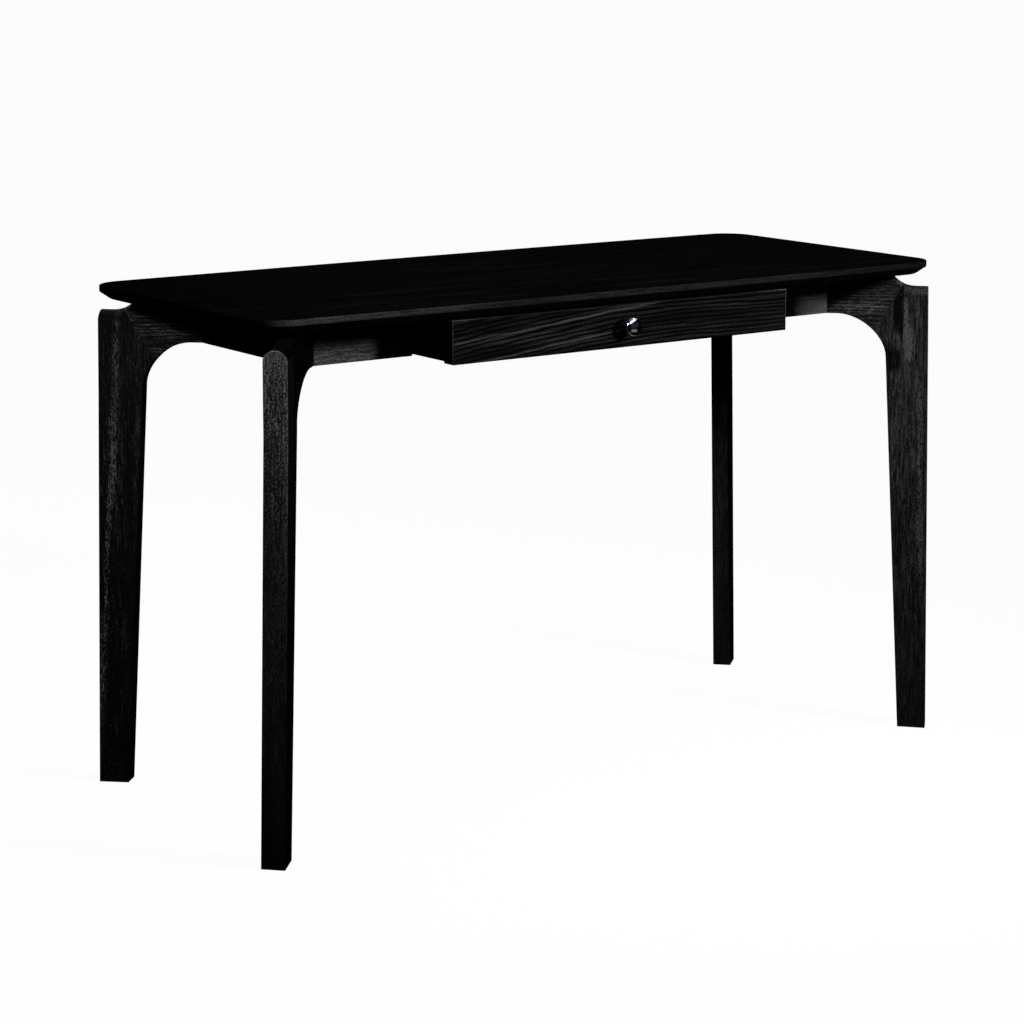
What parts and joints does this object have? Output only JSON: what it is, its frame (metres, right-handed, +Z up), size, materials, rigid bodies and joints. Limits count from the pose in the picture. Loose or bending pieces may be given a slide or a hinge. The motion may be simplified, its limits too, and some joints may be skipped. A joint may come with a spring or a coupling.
{
  "type": "console table with drawer",
  "caption": "Slim rectangular console table with softly rounded corners, splayed diagonal legs on curved bracket arms, and a shallow drawer with a round knob.",
  "frame": {"origin": "on the floor, under the middle of the table's bounding box", "axes": "+X to the right along the table's length when facing the drawer, -Y towards the person who opens the drawer, +Z up"},
  "size_m": [1.246, 0.537, 0.76],
  "materials": {
    "tabletop_oak": "black-stained open-grain oak, satin",
    "leg_oak": "black-stained open-grain oak, satin",
    "bracket_arm_oak": "black-stained open-grain oak, satin",
    "frame_oak": "black-stained open-grain oak, satin",
    "drawer_front_oak": "black-stained open-grain oak, satin",
    "drawer_box_ply": "stained plywood, matt",
    "beech": "planed beech, unfinished",
    "zinc_steel": "zinc-plated steel",
    "black_steel": "black-coated steel",
    "chrome": "polished chrome plate",
    "black_nylon": "moulded nylon"
  },
  "bodies": {
    "table": {"tabletop": "tabletop_oak", "leg_post_front_left": "leg_oak", "leg_post_front_right": "leg_oak", "leg_post_rear_left": "leg_oak", "leg_post_rear_right": "leg_oak", "bracket_arm_front_left": "bracket_arm_oak", "bracket_arm_front_right": "bracket_arm_oak", "bracket_arm_rear_left": "bracket_arm_oak", "bracket_arm_rear_right": "bracket_arm_oak", "mitre_tenon_front_left": "beech", "mitre_tenon_front_right": "beech", "mitre_tenon_rear_left": "beech", "mitre_tenon_rear_right": "beech", "corner_block_front_left": "frame_oak", "corner_block_front_right": "frame_oak", "corner_block_rear_left": "frame_oak", "corner_block_rear_right": "frame_oak", "corner_bolt_front_left": "zinc_steel", "corner_bolt_front_right": "zinc_steel", "corner_bolt_rear_left": "zinc_steel", "corner_bolt_rear_right": "zinc_steel", "foot_glide_front_left": "black_nylon", "foot_glide_front_right": "black_nylon", "foot_glide_rear_left": "black_nylon", "foot_glide_rear_right": "black_nylon", "front_rail_left": "frame_oak", "front_rail_right": "frame_oak", "rear_rail": "frame_oak", "side_rail_left": "frame_oak", "side_rail_right": "frame_oak", "drawer_carrier_left": "frame_oak", "drawer_carrier_right": "frame_oak", "top_clip_1": "zinc_steel", "top_clip_2": "zinc_steel", "top_clip_3": "zinc_steel", "top_clip_4": "zinc_steel", "top_clip_5": "zinc_steel", "top_clip_6": "zinc_steel", "top_screw_1": "zinc_steel", "top_screw_2": "zinc_steel", "top_screw_3": "zinc_steel", "top_screw_4": "zinc_steel", "top_screw_5": "zinc_steel", "top_screw_6": "zinc_steel", "slide_cabinet_left": "black_steel", "slide_cabinet_right": "black_steel"},
    "slide_middle_left": {"slide_middle_left": "black_steel"},
    "slide_middle_right": {"slide_middle_right": "black_steel"},
    "drawer": {"drawer_front": "drawer_front_oak", "drawer_side_left": "drawer_box_ply", "drawer_side_right": "drawer_box_ply", "drawer_back": "drawer_box_ply", "drawer_bottom": "drawer_box_ply", "knob": "chrome", "knob_screw": "zinc_steel", "slide_drawer_left": "black_steel", "slide_drawer_right": "black_steel"}
  },
  "joints": [
    {"name": "drawer_slide", "type": "slide", "parent": "table", "child": "drawer", "axis": [0, -1, 0], "range_m": [0, 0.25]},
    {"name": "slide_middle_left_run", "type": "slide", "parent": "table", "child": "slide_middle_left", "axis": [0, -1, 0], "range_m": [0, 0.125]},
    {"name": "slide_middle_right_run", "type": "slide", "parent": "table", "child": "slide_middle_right", "axis": [0, -1, 0], "range_m": [0, 0.125]}
  ],
  "couplings": [
    {"joint": "slide_middle_left_run", "follows": "drawer_slide", "ratio": 0.5},
    {"joint": "slide_middle_right_run", "follows": "drawer_slide", "ratio": 0.5}
  ]
}
